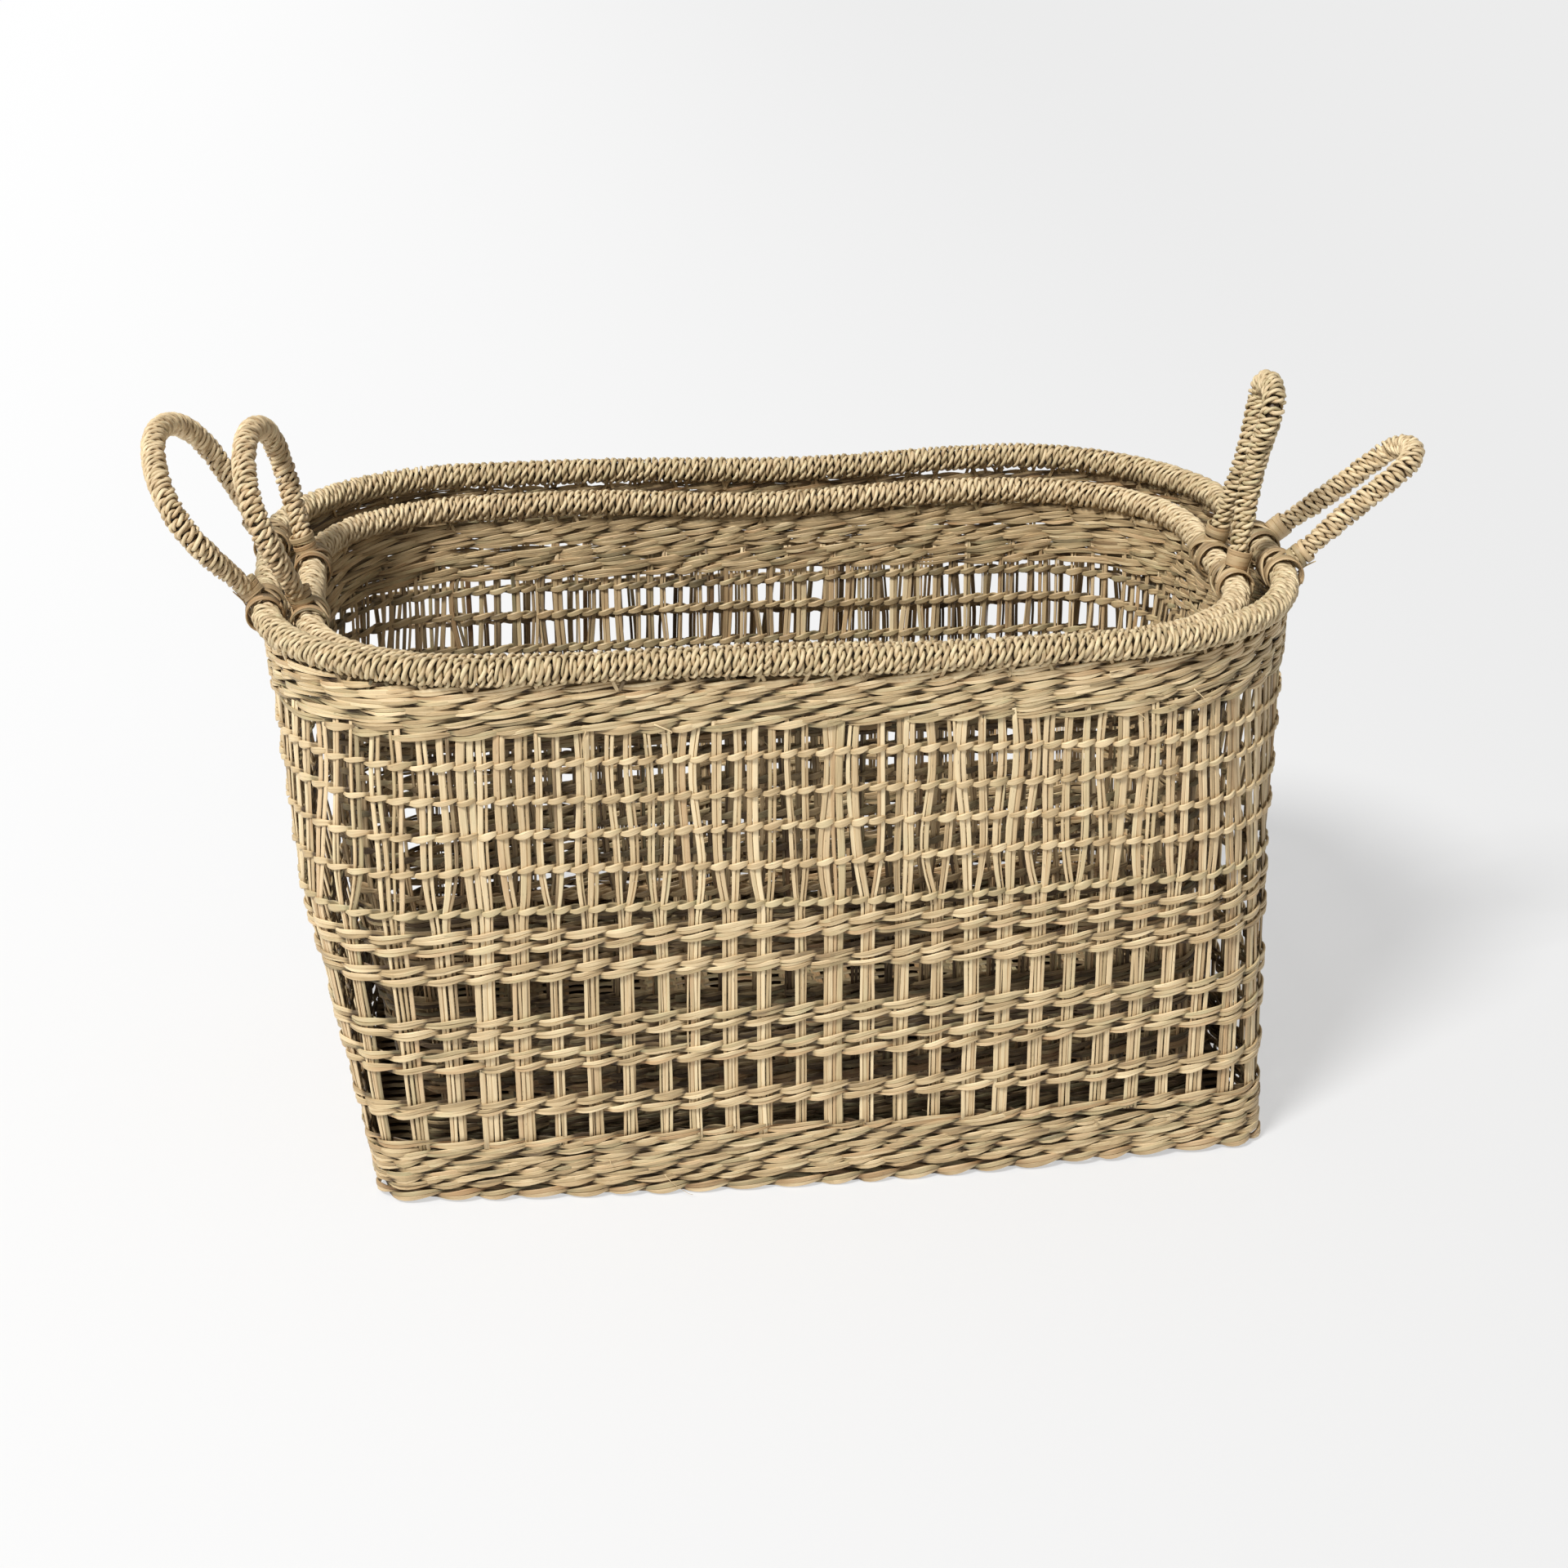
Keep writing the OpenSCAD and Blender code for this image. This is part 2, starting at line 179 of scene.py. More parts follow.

# %% [markdown]
# ## Floor and light
# The floor glows: its emission is painted light, not a lamp, that keeps shadows on it pale,
# and the glow is painted brighter on the left. A broad lamp high on the left models the
# strands, and a soft sky fills in. What is seen of the sky itself is as pale as the floor.

# %% Floor and lamps
FLOOR_SIZE = 24.0
FLOOR_WHITE = (0.30, 0.30, 0.30)
GLOW_LEFT = (0.63, 0.63, 0.63)
GLOW_RIGHT = (0.47, 0.47, 0.47)
GLOW_REACH = 0.9
LAMP_TURN = math.radians(-44)
LAMP_RISE = math.radians(50)
LAMP_BREADTH = math.radians(15)
LAMP_POWER = 3.65
SKY_LIGHT = 0.34
SKY_LOOK = 0.88


def studio_floor():
    tree = Tree(bpy.data.materials.new("studio_floor"))
    place = tree.node("ShaderNodeTexCoord", {}, {}, "Object")
    across = tree.node("ShaderNodeSeparateXYZ", {}, {"Vector": place}, "X")
    # Painted light: the floor's glow, brighter on the left, is emission that lifts its shadows.
    glow = tree.mix(across.step(-GLOW_REACH, GLOW_REACH), GLOW_LEFT, GLOW_RIGHT)
    values = {"Base Color": FLOOR_WHITE, "Roughness": 1.0, "Emission Color": glow}
    values["Emission Strength"] = 1.0
    values["Specular IOR Level"] = 0.0
    return tree.finish(tree.node("ShaderNodeBsdfPrincipled", {}, values))


def make_floor():
    half = FLOOR_SIZE / 2
    mesh = bpy.data.meshes.new("floor")
    corners = [(-half, -half, 0), (half, -half, 0), (half, half, 0), (-half, half, 0)]
    mesh.from_pydata(corners, [], [(0, 1, 2, 3)])
    mesh.materials.append(studio_floor())
    floor = bpy.data.objects.new("floor", mesh)
    bpy.context.collection.objects.link(floor)


def hang_lamp():
    data = bpy.data.lights.new("key", "SUN")
    data.energy = LAMP_POWER
    data.angle = LAMP_BREADTH
    lamp = bpy.data.objects.new("key", data)
    bpy.context.collection.objects.link(lamp)
    lamp.rotation_euler = direction(LAMP_TURN, LAMP_RISE).to_track_quat("Z", "Y").to_euler()


def light_the_sky():
    world = bpy.data.worlds.new("studio")
    tree = Tree(world)
    white = (1.0, 1.0, 1.0)
    soft = tree.node("ShaderNodeBackground", {}, {"Color": white, "Strength": SKY_LIGHT})
    pale = tree.node("ShaderNodeBackground", {}, {"Color": white, "Strength": SKY_LOOK})
    seen = tree.node("ShaderNodeLightPath", {}, {}, "Is Camera Ray")
    tree.finish(tree.node("ShaderNodeMixShader", {}, {0: seen, 1: soft, 2: pale}))
    bpy.context.scene.world = world


make_floor()
hang_lamp()
light_the_sky()
bpy.context.scene.view_settings.view_transform = "Standard"

# %% [markdown]
# ## Dry seagrass
# A dried blade is pale straw on the outside, with long fibres, greenish and rusty stretches,
# and a darker edge where it curls. Each strand's mesh carries "grain": metres along the
# strand, metres across it, and a number of its own, so the fibres follow every bend.
# "tone" is lighter or darker strand by strand, and it also carries painted shade:
# darker where strands dive between stakes, on faces that lie in the pair's shade, and low down.
# Noise stretched along the strand draws the fibres.

# %% Seagrass material
DARK = (0.070, 0.043, 0.021)
RUST = (0.45, 0.245, 0.105)
GREEN = (0.47, 0.43, 0.235)
RELIEF = 0.45
FIBRE_DEPTH = 0.0006


def seagrass(name, pale, mid, rust, patch):
    tree = Tree(bpy.data.materials.new(name))
    grain = tree.node("ShaderNodeAttribute", {"attribute_name": "grain"}, {}, "Vector")
    tone = tree.node("ShaderNodeAttribute", {"attribute_name": "tone"}, {}, "Fac")
    number = tree.node("ShaderNodeSeparateXYZ", {}, {"Vector": grain}, "Z")
    own = tree.node("ShaderNodeTexWhiteNoise", {"noise_dimensions": "1D"}, {"W": number}, "Value")

    def noise(scale, detail=2.0):
        stretched = tree.node("ShaderNodeVectorMath", {"operation": "MULTIPLY"}, {0: grain, 1: scale})
        values = {"Vector": stretched, "Scale": 1.0, "Detail": detail, "Roughness": 0.6}
        return tree.node("ShaderNodeTexNoise", {}, values)

    fibre = noise((45.0, 2600.0, 37.0))
    fine = noise((120.0, 7000.0, 91.0), 1.0)
    drift = noise((patch, 90.0, 13.0))
    blotch = noise((patch * 0.4, 20.0, 5.7), 1.0)
    fleck = noise((260.0, 900.0, 61.0), 1.0)
    shade = tone + (drift - 0.5) * 0.6 + (fibre - 0.5) * 0.8 + (own - 0.5) * 0.2
    ramp = {"stops": [(0.0, DARK), (0.5, mid), (1.0, pale)]}
    colour = tree.node("ShaderNodeValToRGB", ramp, {"Fac": shade})
    rusty = blotch.step(0.56, 0.74) * rust + own.step(0.86, 0.97) * 0.4
    green = drift.step(0.52, 0.70) * 0.30 + own.step(0.22, 0.02) * 0.30
    colour = tree.mix(rusty, colour, RUST)
    colour = tree.mix(green, colour, GREEN)
    colour = tree.mix(fleck.step(0.68, 0.80) * 0.4, colour, DARK)
    height = fibre * 0.6 + fine * 0.4
    bump_values = {"Strength": RELIEF, "Distance": FIBRE_DEPTH, "Height": height}
    bump = tree.node("ShaderNodeBump", {}, bump_values)
    values = {"Base Color": colour, "Roughness": 0.5 + (fibre - 0.5) * 0.3, "Normal": bump}
    values["Specular IOR Level"] = 0.4
    return tree.finish(tree.node("ShaderNodeBsdfPrincipled", {}, values))


# %% [markdown]
# ## Steel wire
# The rim wire is plain drawn steel, dull and a little stained by the damp blades. It is
# hidden, so noise that mixes two metal greys and moves the roughness is enough.

# %% Wire material
STEEL = (0.30, 0.29, 0.27)
STAIN = (0.20, 0.13, 0.08)


def steel_wire():
    tree = Tree(bpy.data.materials.new("rim_wire_steel"))
    place = tree.node("ShaderNodeTexCoord", {}, {}, "Object")
    stain = tree.node("ShaderNodeTexNoise", {}, {"Vector": place, "Scale": 180.0, "Detail": 3.0})
    colour = tree.mix(stain.step(0.45, 0.65), STEEL, STAIN)
    values = {"Base Color": colour, "Metallic": 0.85, "Roughness": 0.35 + stain * 0.3}
    return tree.finish(tree.node("ShaderNodeBsdfPrincipled", {}, values))


# %% [markdown]
# ## One grass, six finishes
# Every part is the same plant, but thick foot strands are browner, the mat finish is painted
# darker as painted shade for the dim floor of the basket, and thin cord shows more of its
# fibres. One material with a few numbers gives all six, which keeps them related as the real ones are.

# %% Palette
# Each finish has its pale and middle colours, how rusty it is, and patches per metre.
STRAW = {
    "stake": seagrass("stake_blades", (0.87, 0.70, 0.435), (0.55, 0.395, 0.212), 0.25, 22.0),
    "twine": seagrass("twined_strands", (0.86, 0.685, 0.42), (0.50, 0.360, 0.188), 0.20, 55.0),
    "cord": seagrass("two_ply_cord", (0.85, 0.685, 0.43), (0.50, 0.362, 0.198), 0.15, 150.0),
    "foot": seagrass("foot_strands", (0.76, 0.585, 0.355), (0.42, 0.295, 0.152), 0.35, 55.0),
    # The mat finish is darker as painted shade.
    "mat": seagrass("mat_strips", (0.46, 0.34, 0.195), (0.27, 0.19, 0.10), 0.25, 30.0),
    "strip": seagrass("lashing_strips", (0.70, 0.53, 0.305), (0.40, 0.275, 0.14), 0.40, 80.0),
}
WIRE = steel_wire()
print("finishes:", sorted(STRAW))

# %% [markdown]
# ## Strands
# A strand is a path, a direction that its broad face looks in, a width and a thickness. One
# call sweeps a whole batch of equal strands with array arithmetic, which is why the arrays
# have the shape (strands, stations, 3). The ends are closed, so every strand is solid. A
# curve with a bevel could make one strand, but hundreds are quicker as arrays.

# %% Sweeping strands into a mesh
SIDES = 6
FLATNESS = 0.55


def unit(v):
    return v / np.maximum(np.linalg.norm(v, axis=-1, keepdims=True), 1e-12)


class Weave:
    def __init__(self, seed):
        self.random = np.random.default_rng(seed)
        self.points = []
        self.quads = []
        self.ends = []
        self.grain = []
        self.tone = []
        self.count = 0

    @staticmethod
    def across_and_out(path, face, closed):
        """Directions across each strand and out of its broad face, at every station."""
        if closed:
            along = np.roll(path, -1, 1) - np.roll(path, 1, 1)
        else:
            along = np.gradient(path, axis=1)
        along = unit(along)
        across = unit(np.cross(along, face))
        return across, np.cross(across, along)

    def add(self, path, face, width, thick, closed=False, tone=0.58, spread=0.13, sides=SIDES, back=0.0):
        path = np.asarray(path, float)
        if path.ndim == 2:
            path = path[None]
        batch, stations, _ = path.shape
        face = np.broadcast_to(face, path.shape)
        width = np.broadcast_to(width, (batch, stations))[..., None, None]
        thick = np.broadcast_to(thick, (batch, stations))[..., None, None]
        across, outward = self.across_and_out(path, face, closed)
        angle = 2 * math.pi * np.arange(sides) / sides
        cosine = np.cos(angle)
        sine = np.sin(angle)
        if sides == SIDES:
            cosine = np.sign(cosine) * np.abs(cosine) ** FLATNESS
        cosine = cosine[None, None, :, None]
        sine = sine[None, None, :, None]
        skin = path[:, :, None] + across[:, :, None] * cosine * width / 2
        skin = skin + outward[:, :, None] * sine * thick / 2
        self.points.append(skin.reshape(-1, 3))
        index = self.count + np.arange(batch * stations * sides).reshape(batch, stations, sides)
        following = np.roll(index, -1, 1) if closed else index[:, 1:]
        start = index if closed else index[:, :-1]
        quads = [start, np.roll(start, -1, 2), np.roll(following, -1, 2), following]
        self.quads.append(np.stack(quads, -1).reshape(-1, 4))
        if not closed:
            self.ends.append(index[:, 0, ::-1].reshape(-1, sides))
            self.ends.append(index[:, -1].reshape(-1, sides))
        self.count += skin.size // 3
        travelled = np.linalg.norm(np.diff(path, axis=1), axis=-1).cumsum(1)
        travelled = np.concatenate([np.zeros((batch, 1)), travelled], 1)
        grain = np.zeros(skin.shape)
        grain[..., 0] = travelled[..., None]
        grain[..., 1] = (cosine * width / 2)[..., 0] + (sine * thick / 2)[..., 0] * 0.5
        grain[..., 2] = self.random.uniform(0, 40, (batch, 1, 1))
        self.grain.append(grain.reshape(-1, 3))
        own = self.random.normal(0, spread, (batch, 1))
        tone = np.broadcast_to(tone + own, (batch, stations))[..., None]
        # back: painted shade, a different darkness on the face that looks inward.
        tone = tone - back * (sine[..., 0] < -0.01)
        self.tone.append(np.broadcast_to(tone, skin.shape[:3]).reshape(-1))

    def piece(self, name, material, body, replaced, crisp=True):
        points = np.concatenate(self.points)
        quads = np.concatenate(self.quads)
        ends = [e for e in self.ends if len(e)]
        loops = np.concatenate([quads.ravel()] + [e.ravel() for e in ends])
        sizes = np.concatenate([np.full(len(quads), 4)] + [np.full(len(e), e.shape[1]) for e in ends])
        mesh = bpy.data.meshes.new(name)
        mesh.vertices.add(len(points))
        mesh.vertices.foreach_set("co", points.astype(np.float32).ravel())
        mesh.loops.add(len(loops))
        mesh.loops.foreach_set("vertex_index", loops.astype(np.int32))
        mesh.polygons.add(len(sizes))
        starts = np.concatenate([[0], np.cumsum(sizes)[:-1]])
        mesh.polygons.foreach_set("loop_start", starts.astype(np.int32))
        mesh.polygons.foreach_set("use_smooth", np.ones(len(sizes), bool))
        mesh.update(calc_edges=True)
        if crisp:
            edges = np.empty(2 * len(mesh.edges), np.int32)
            mesh.edges.foreach_get("vertices", edges)
            apart = np.abs(edges[0::2] - edges[1::2])
            sharp = mesh.attributes.new("sharp_edge", "BOOLEAN", "EDGE")
            sharp.data.foreach_set("value", apart % SIDES == 0)
        grain = mesh.attributes.new("grain", "FLOAT_VECTOR", "POINT")
        grain.data.foreach_set("vector", np.concatenate(self.grain).astype(np.float32).ravel())
        tone = mesh.attributes.new("tone", "FLOAT", "POINT")
        tone.data.foreach_set("value", np.concatenate(self.tone).astype(np.float32))
        mesh.materials.append(material)
        thing = bpy.data.objects.new(name, mesh)
        bpy.context.collection.objects.link(thing)
        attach(thing, body)
        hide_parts(*replaced)
        print(f"{name}: {int((sizes - 2).sum())} triangles")


# %% [markdown]
# ## Nothing is quite straight
# Hand-laid strands drift. Noise from one station to the next would make them jagged, so
# wander joins a few random knots smoothly, and wander_round adds a few slow waves that meet
# themselves after a full turn. All random numbers are seeded, so each run is the same.

# %% Slow random drift


def wander(random, count, length, knots, size):
    """Slow random drift along a batch of strands."""
    values = random.normal(0, size, (count, knots))
    place = np.linspace(0, knots - 1, length)
    low = np.minimum(place.astype(int), knots - 2)
    part = place - low
    part = part * part * (3 - 2 * part)
    return values[:, low] * (1 - part) + values[:, low + 1] * part


def wander_round(random, count, length, waves, size):
    """Slow drift along a batch of closed strands, which meets itself at the start."""
    turn = np.arange(length) / length
    total = np.zeros((count, length))
    for wave in range(1, waves + 1):
        height = random.normal(0, size, (count, 1))
        start = random.uniform(0, 1, (count, 1))
        total += height * np.sin(2 * math.pi * (wave * turn + start))
    return total / math.sqrt(waves)


# %% [markdown]
# ## The wall
# Every woven part lies on one surface: a rectangle with rounded corners that grows from the
# sharp-cornered foot to the round-cornered rim, quickly below the split row and slowly above.
# Basket.wall gives a point of it from a share of the way round, a height, and a distance out.
# Its sizes are read from the packed parts. Stakes stand where the foot puts them, so the
# extra length of the rim is all at the corners, and the foot is bowed and turned a little.
# Both baskets carry painted shade: the large one's inside and the small one's outside, which
# lie in shade inside the pair, are painted darker, and the small one darker still low down.

# %% Basket surface
# Kinks are the shares of the foot-to-rim change that are reached at the split row.
FOOT_WALL = 0.0032
FOOT_BEND = 0.014
LONG_KINK = 0.56
WIDE_KINK = 0.77
BEND_KINK = 0.45
DRIFT_KINK = 1.15
FOOT_BOW = 0.011
FOOT_FORWARD = 0.005
FOOT_TURN = math.radians(1.2)
CORNER_SPREAD = 0.060
PRESSED_CORNER = 0.0025
STAKE_PITCH = 0.0186


def middle(node):
    low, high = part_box(node)
    return (low + high) / 2


class Basket:
    def __init__(self, name, rim_bend, seed, outer_painted_shade, inner_painted_shade, low_painted_shade):
        self.name = name
        self.outer_painted_shade = outer_painted_shade
        self.inner_painted_shade = inner_painted_shade
        self.low_painted_shade = low_painted_shade
        self.body = name + "_basket"
        self.seed = seed
        self.rim_bend = rim_bend
        low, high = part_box(name + "_rim_wire")
        wire = high.z - low.z
        self.rim_half = ((high.x - low.x - wire) / 2, (high.y - low.y - wire) / 2)
        self.rim_middle = (low + high) / 2
        low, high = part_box(name + "_foot_braid")
        self.foot_half = ((high.x - low.x) / 2 - FOOT_WALL, (high.y - low.y) / 2 - FOOT_WALL)
        self.foot_middle = (low + high) / 2
        self.floor = low.z
        self.rise = self.rim_middle.z - self.floor
        self.split = middle(name + "_single_row_1").z
        self.around = 4 * sum(self.foot_half) - (8 - 2 * math.pi) * FOOT_BEND
        self.stakes = 4 * round(self.around / STAKE_PITCH / 4)
        low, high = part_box(name + "_rim_binding")
        self.rim_radius = (high.z - low.z) / 2

    def shade(self, z):
        """Painted shade that grows towards the floor."""
        share = np.clip((np.asarray(z) - self.floor) / self.rise, 0, 1)
        return self.low_painted_shade * (1 - share)

    def outline(self, z):
        share = np.clip((z - self.floor) / self.rise, 0, 1.2)
        split = (self.split - self.floor) / self.rise

        def reached(kink):
            above = kink + (1 - kink) * (share - split) / (1 - split)
            return np.where(share < split, kink * share / split, above)

        half_x = self.foot_half[0] + (self.rim_half[0] - self.foot_half[0]) * reached(LONG_KINK)
        half_y = self.foot_half[1] + (self.rim_half[1] - self.foot_half[1]) * reached(WIDE_KINK)
        corner = FOOT_BEND + (self.rim_bend - FOOT_BEND) * reached(BEND_KINK)
        drift = reached(DRIFT_KINK)
        x = self.foot_middle.x + (self.rim_middle.x - self.foot_middle.x) * drift
        y = self.foot_middle.y + (self.rim_middle.y - self.foot_middle.y) * drift
        return half_x, half_y, corner, x, y, share

    def upright(self, turn, quarter_length, drift):
        """Way round the wall at which a stake that starts at this share of the foot stands.

        Stakes keep their place along each wall, and the extra length goes to the corners.
        """
        foot_quarter = self.around / 4
        quarter = np.floor(turn * 4)
        local = (turn * 4 - quarter) * foot_quarter
        anchors = [-drift, quarter_length, 2 * quarter_length + drift, 3 * quarter_length,
                   4 * quarter_length - drift]
        begin = np.select([quarter == k for k in range(4)], anchors[:4])
        end = np.select([quarter == k for k in range(4)], anchors[1:])
        bend = np.where(quarter % 2 == 0, self.foot_half[0], self.foot_half[1])
        part = np.clip((local - bend + CORNER_SPREAD) / (2 * CORNER_SPREAD), 0, 1)
        part = part * part * (3 - 2 * part)
        return begin + local + (end - begin - foot_quarter) * part

    def turn_foot(self, place, share):
        """The foot sits a little forward of the rim and is turned under it."""
        loose = np.clip(1 - share, 0, 1)
        angle = FOOT_TURN * loose
        x = place[..., 0] - self.foot_middle.x
        y = place[..., 1] - self.foot_middle.y
        new_x = x * np.cos(angle) - y * np.sin(angle) + self.foot_middle.x
        new_y = x * np.sin(angle) + y * np.cos(angle) + self.foot_middle.y
        return np.stack([new_x, new_y - FOOT_FORWARD * loose, place[..., 2]], -1)

    def wall(self, turn, z, out=0.0, even=False):
        """Points and outward normals at shares of a turn, from the front's middle to the right."""
        turn, z, out = np.broadcast_arrays(np.asarray(turn, float), z, out)
        half_x, half_y, corner, x, y, share = self.outline(z)
        run_x = half_x - corner
        run_y = half_y - corner
        arc = corner * math.pi / 2
        quarter_length = run_x + run_y + arc
        if even:
            left = (turn % 1.0) * 4 * quarter_length
        else:
            left = self.upright(turn % 1.0, quarter_length, x - self.foot_middle.x)
            left = left % (4 * quarter_length)
        heading = np.zeros(turn.shape)
        centre_x = np.zeros(turn.shape)
        centre_y = np.zeros(turn.shape)
        stretches = [(run_x, 0, 0), (arc, 0, 1), (2 * run_y, 1, 0), (arc, 1, 1), (2 * run_x, 2, 0),
                     (arc, 2, 1), (2 * run_y, 3, 0), (arc, 3, 1), (run_x, 4, 0)]
        signs = [(1, -1), (1, 1), (-1, 1), (-1, -1), (1, -1)]
        for number, (length, quarter, bending) in enumerate(stretches):
            here = (left >= 0) & ((left <= length) | (number == 8))
            part = np.where(here, left / np.maximum(length, 1e-9), 0)
            end = signs[quarter]
            begin = end if bending else signs[quarter - 1] if quarter else (0, -1)
            if quarter == 4:
                end = (0, -1)
            heading = np.where(here, (quarter + part * bending) * math.pi / 2, heading)
            centre_x = np.where(here, run_x * (begin[0] + (end[0] - begin[0]) * part), centre_x)
            centre_y = np.where(here, run_y * (begin[1] + (end[1] - begin[1]) * part), centre_y)
            left = np.where(here, -1.0, left - length)
        normal = np.stack([np.sin(heading), -np.cos(heading), np.zeros(turn.shape)], -1)
        bow = FOOT_BOW * np.clip(1 - share, 0, 1) ** 1.5
        bow = bow * np.where(np.abs(normal[..., 1]) > 0.5, 1 - (centre_x / run_x) ** 2,
                             0.5 * (1 - (centre_y / run_y) ** 2))
        pressed = PRESSED_CORNER * share * np.sin(2 * heading) * (heading < math.pi / 2)
        reach = corner + out + bow - pressed
        place = np.stack([x + centre_x + normal[..., 0] * reach,
                          y + centre_y + normal[..., 1] * reach, z], -1)
        return self.turn_foot(place, share), normal


# Painted shade: the large basket's inside and the small basket's outside are darker, the small one more so
# low down.
LARGE = Basket("outer", rim_bend=0.115, seed=11, outer_painted_shade=0.0, inner_painted_shade=0.46, low_painted_shade=0.0)
SMALL = Basket("inner", rim_bend=0.090, seed=23, outer_painted_shade=0.42, inner_painted_shade=0.20, low_painted_shade=0.20)
for basket in (LARGE, SMALL):
    print(basket.name, "rim half sizes", [round(v, 4) for v in basket.rim_half],
          "rise", round(basket.rise, 4))

# %% [markdown]
# ## Twining
# A twined course is two strands that pass one in front and one behind each stake, and cross
# between stakes. Seen from outside, each strand shows as a short slanting float over every
# second stake. Swinging the strand in and out with a cosine and up and down with a sine
# gives both, and it never meets the stake. A bevelled curve could do it too, but here the
# width has to swell on each float, and every blade of a strand has a height of its own.

# %% Twine one course
SAG = 0.0009
FRAY = 0.0002
UNEVEN = 0.14
OVERLAP = 1.14


def twine(weave, basket, z, count, swing, lift, blades, width, thick, phase=0.0, drift=0.12, stations=8,
          tip=0.24, dive_shade=0.32, tone=0.64, painted_light_shift=0.0):
    """One course: swing is in and out, lift is up and down, and each strand is of some blades.

    A strand is tip times its width where it dives between stakes, and darker there by dive_shade, painted
    shade where it passes behind.
    """
    random = weave.random
    length = count * stations
    turn = np.arange(length) / length
    stray = wander_round(random, 1, length, count // 3, drift)
    sag = wander_round(random, 1, length, 7, SAG)
    slot = ((np.arange(blades) - (blades - 1) / 2) / blades)[:, None]
    for strand in (0, 1):
        angle = math.pi * (count * turn + phase + strand) + stray
        cosine = np.cos(angle)
        crown = np.abs(cosine)
        full = width * (tip + (1 - tip) * crown ** 0.7)
        full = full * (1 + wander_round(random, 1, length, count // 2, UNEVEN))
        jitter = wander_round(random, blades, length, count // 2, 0.00018)
        height = z + lift * np.sin(angle) + sag + jitter + slot * full
        depth = swing * np.sign(cosine) * crown ** 0.85 + wander_round(random, blades, length, 30, FRAY)
        path, normal = basket.wall(np.broadcast_to(turn, height.shape), height, depth)
        breadth = full / blades * OVERLAP * (1 + wander_round(random, blades, length, 40, 0.10))
        # Painted shade: darker where the strand dives, darker on each side by the basket's painted shade and
        # low down, and shifted by painted_light_shift.
        lit = tone - dive_shade * (1 - crown) ** 1.4 + wander_round(random, blades, length, count // 2, 0.15)
        lit = lit + painted_light_shift - np.where(cosine < 0, basket.inner_painted_shade, basket.outer_painted_shade)
        lit = lit - basket.shade(z)
        weave.add(path, normal, breadth, thick, closed=True, tone=lit, spread=0.07)


# %% [markdown]
# ## Stray fibres
# Blade ends are poked back into the weave, and some of them spring out again. A few thin
# curved slivers that stand off the wall are enough; a hair system would be far more than
# these few, and it would not come along as a mesh.

# %% Stray fibres
STRAY_COUNT = 16
STRAY_SWEEP = 0.016
STRAY_CLIMB = 0.011
STRAY_CURL = 0.004


def stray_fibres(weave, basket, low, high):
    """A few blade ends and split fibres that stand away from the weave."""
    random = weave.random
    part = np.linspace(0, 1, 12)[None]
    start = random.uniform(0, 1, (STRAY_COUNT, 1))
    sweep = random.normal(0, STRAY_SWEEP, (STRAY_COUNT, 1))
    climb = random.normal(0, STRAY_CLIMB, (STRAY_COUNT, 1))
    curl = random.normal(0, STRAY_CURL, (STRAY_COUNT, 1))
    around = 4 * sum(basket.rim_half)
    turn = start + (sweep * part + curl * np.sin(3 * part)) / around
    z = random.uniform(low, high, (STRAY_COUNT, 1)) + climb * part + curl * part ** 2
    z = np.maximum(z, basket.floor + 0.002)
    path, normal = basket.wall(turn, z, 0.0030 + 0.0045 * part ** 1.5)
    width = random.uniform(0.0004, 0.0010, (STRAY_COUNT, 1)) * (1.1 - part)
    weave.add(path, normal, width, 0.0004, tone=0.75, spread=0.15)


# %% [markdown]
# ## Rows and bands
# Single rows hold the thin upper stakes and cross every one of them. Paired rows hold the
# thick lower groups. At the foot and under the rim the courses lie against each other and
# hide the stakes. All are the same twining, so they differ only in their numbers.

# %% Single and paired rows
STRAND_THICK = 0.0013


def single_row(basket, number):
    node = f"{basket.name}_single_row_{number}"
    weave = Weave(basket.seed * 100 + number)
    z = middle(node).z + weave.random.uniform(-0.0010, 0.0010)
    twine(weave, basket, z, 2 * basket.stakes, swing=0.0019, lift=0.0010, blades=1, width=0.0034,
          thick=0.0015, phase=-0.5, tip=0.58, dive_shade=0.12, tone=0.68)
    weave.piece(node + "_twine", STRAW["twine"], basket.body, [node])


def paired_row(basket, number):
    node = f"{basket.name}_paired_row_{number}"
    weave = Weave(basket.seed * 100 + 20 + number)
    half = weave.random.uniform(0.0026, 0.0033)
    for side in (-1, 1):
        z = middle(node).z + side * half
        phase = weave.random.integers(0, 2)
        twine(weave, basket, z, basket.stakes, swing=0.0020, lift=0.0014, blades=2, width=0.0044,
              thick=STRAND_THICK, phase=phase, drift=0.5, tip=0.62, dive_shade=0.14, tone=0.67)
    weave.piece(node + "_twine", STRAW["twine"], basket.body, [node])


# %% Close bands
SMALL_BAND_DROP = 0.009
FLOAT_PAIRS_PER_STAKE = 0.40


def longer_floats(basket):
    """In a close band each float spans a little more than one stake."""
    return 2 * round(FLOAT_PAIRS_PER_STAKE * basket.stakes)


